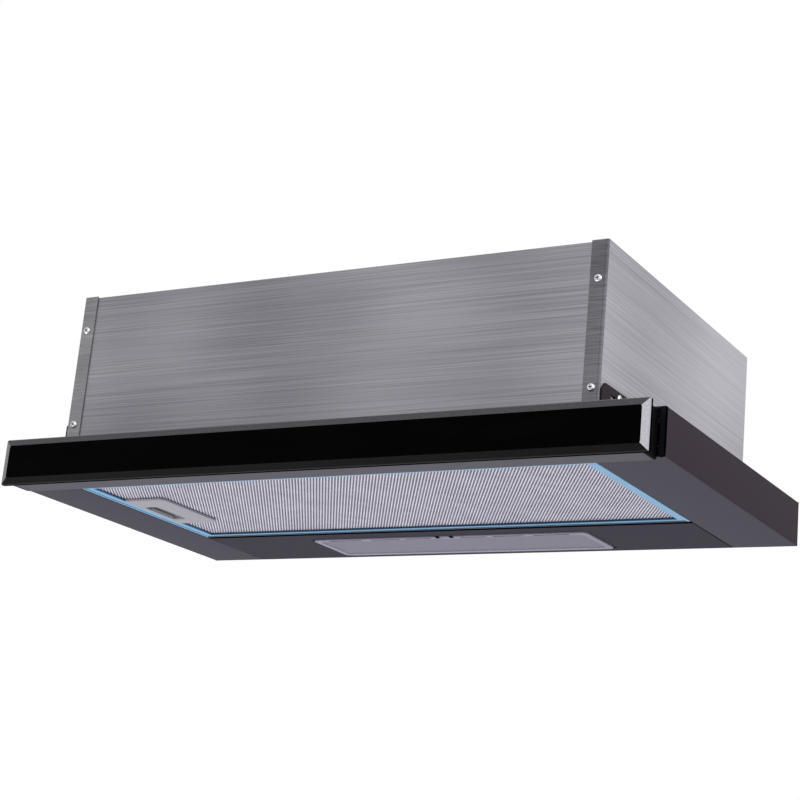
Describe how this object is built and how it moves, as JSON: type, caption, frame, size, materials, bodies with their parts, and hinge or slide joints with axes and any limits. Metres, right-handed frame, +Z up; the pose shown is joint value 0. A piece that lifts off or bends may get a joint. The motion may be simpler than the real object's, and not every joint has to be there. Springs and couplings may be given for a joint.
{
  "type": "pull out range hood",
  "caption": "Pull-out cooker hood for a wall cupboard: slim canopy with a sliding glass-fronted tray, grease filters, lamp, blower body and top duct collar.",
  "frame": {"origin": "middle of the footprint with the tray closed, at the height of the glass's lower edge", "axes": "+X to the right seen from the front, +Y to the back, +Z up; the tray pulls out along -Y"},
  "size_m": [0.598, 0.322, 0.203],
  "materials": {
    "black_glass": "bevelled black float glass, polished",
    "foam_tape": "foam tape",
    "rail_paint": "dark satin powder coat",
    "canopy_paint": "dark satin powder coat",
    "panel_paint": "dark satin powder coat",
    "cap_plastic": "moulded, fine texture",
    "galvanised": "zinc-coated sheet",
    "runner_steel": "zinc-plated",
    "nylon": "natural nylon",
    "brushed_body": "long-grain brushed stainless steel",
    "deck_steel": "plain sheet",
    "filter_blue": "aluminium under blue protective film",
    "filter_plain": "mill finish",
    "filter_mesh": "fine expanded mesh",
    "handle_grey": "moulded",
    "latch_grey": "moulded",
    "bracket_black": "black powder coat",
    "collar_plastic": "moulded",
    "flap_plastic": "moulded",
    "scroll_plastic": "moulded",
    "wheel_plastic": "moulded",
    "shaft_steel": "ground steel",
    "motor_steel": "painted can",
    "rubber": "moulded rubber",
    "capacitor_plastic": "moulded can",
    "box_plastic": "moulded",
    "knob_plastic": "satin silver",
    "lamp_white": "moulded",
    "led_board": "white board",
    "lens_clear": "frosted acrylic",
    "switch_plastic": "moulded",
    "plunger_red": "moulded",
    "screw_steel": "nickel-plated"
  },
  "bodies": {
    "hood": {"runner_outer_left": "runner_steel", "runner_outer_right": "runner_steel", "side_member_left": "canopy_paint", "side_member_right": "canopy_paint", "front_bar": "canopy_paint", "rear_bar": "canopy_paint", "lamp_panel": "panel_paint", "lamp_housing": "lamp_white", "led_board": "led_board", "filter_frame": "filter_blue", "filter_net": "filter_mesh", "filter_handle": "handle_grey", "deck_plate": "deck_steel", "side_panel_left": "brushed_body", "side_panel_right": "brushed_body", "front_panel": "brushed_body", "back_panel": "brushed_body", "top_panel": "deck_steel", "side_bracket_left": "bracket_black", "side_bracket_right": "bracket_black", "duct_collar": "collar_plastic", "flap_pin": "shaft_steel", "outlet_adapter": "scroll_plastic", "scroll_left": "scroll_plastic", "scroll_right": "scroll_plastic", "motor": "motor_steel", "motor_spider": "galvanised", "motor_grommets": "rubber", "capacitor": "capacitor_plastic", "terminal_box": "box_plastic", "cable_gland": "cap_plastic", "tray_switch": "switch_plastic", "panel_screws": "screw_steel"},
    "tray": {"fascia_glass": "black_glass", "glass_tape": "foam_tape", "front_rail": "rail_paint", "end_cap_left": "cap_plastic", "end_cap_right": "cap_plastic", "tray_arm_left": "galvanised", "tray_arm_right": "galvanised", "tray_bar": "galvanised", "tray_filter_frame": "filter_plain", "tray_filter_net": "filter_mesh", "bumper_pads": "rubber", "control_strip": "cap_plastic", "runner_inner_left": "runner_steel", "runner_inner_right": "runner_steel"},
    "speed_knob": {"speed_knob": "knob_plastic"},
    "light_knob": {"light_knob": "knob_plastic"},
    "runner_left": {"runner_middle_left": "runner_steel", "runner_glides_left": "nylon"},
    "runner_right": {"runner_middle_right": "runner_steel", "runner_glides_right": "nylon"},
    "filter_latch": {"filter_latch": "latch_grey"},
    "lamp_lens": {"lamp_lens": "lens_clear"},
    "flap_front": {"flap_front": "flap_plastic"},
    "flap_rear": {"flap_rear": "flap_plastic"},
    "blower_wheel": {"impeller": "wheel_plastic", "rotor_shaft": "shaft_steel"},
    "switch_plunger": {"switch_plunger": "plunger_red"}
  },
  "joints": [
    {"name": "tray_slide", "type": "slide", "parent": "hood", "child": "tray", "axis": [0, -1, 0], "range_m": [0, 0.165]},
    {"name": "runner_left_slide", "type": "slide", "parent": "hood", "child": "runner_left", "axis": [0, -1, 0], "range_m": [0, 0.0825]},
    {"name": "runner_right_slide", "type": "slide", "parent": "hood", "child": "runner_right", "axis": [0, -1, 0], "range_m": [0, 0.0825]},
    {"name": "plunger_slide", "type": "slide", "parent": "hood", "child": "switch_plunger", "axis": [0, -1, 0], "range_m": [0, 0.003]},
    {"name": "speed_slide", "type": "slide", "parent": "tray", "child": "speed_knob", "axis": [1, 0, 0], "range_m": [0, 0.024]},
    {"name": "light_slide", "type": "slide", "parent": "tray", "child": "light_knob", "axis": [1, 0, 0], "range_m": [0, 0.008]},
    {"name": "latch_slide", "type": "slide", "parent": "hood", "child": "filter_latch", "axis": [1, 0, 0], "range_m": [0, 0.006], "stiffness_N_per_m": 300},
    {"name": "lens_hinge", "type": "hinge", "parent": "hood", "child": "lamp_lens", "pos_m": [0, 0.1484, 0.0048], "axis": [1, 0, 0], "range_deg": [0, 80]},
    {"name": "flap_front_hinge", "type": "hinge", "parent": "hood", "child": "flap_front", "pos_m": [0, 0.0075, 0.18], "axis": [-1, 0, 0], "range_deg": [0, 75]},
    {"name": "flap_rear_hinge", "type": "hinge", "parent": "hood", "child": "flap_rear", "pos_m": [0, 0.0075, 0.18], "axis": [1, 0, 0], "range_deg": [0, 75]},
    {"name": "wheel_spin", "type": "hinge", "parent": "hood", "child": "blower_wheel", "pos_m": [0, 0.039, 0.104], "axis": [1, 0, 0], "continuous": true}
  ],
  "couplings": [
    {"joint": "runner_left_slide", "follows": "tray_slide", "ratio": 0.5},
    {"joint": "runner_right_slide", "follows": "tray_slide", "ratio": 0.5},
    {"joint": "plunger_slide", "follows": "tray_slide", "ratio": 0.018}
  ]
}
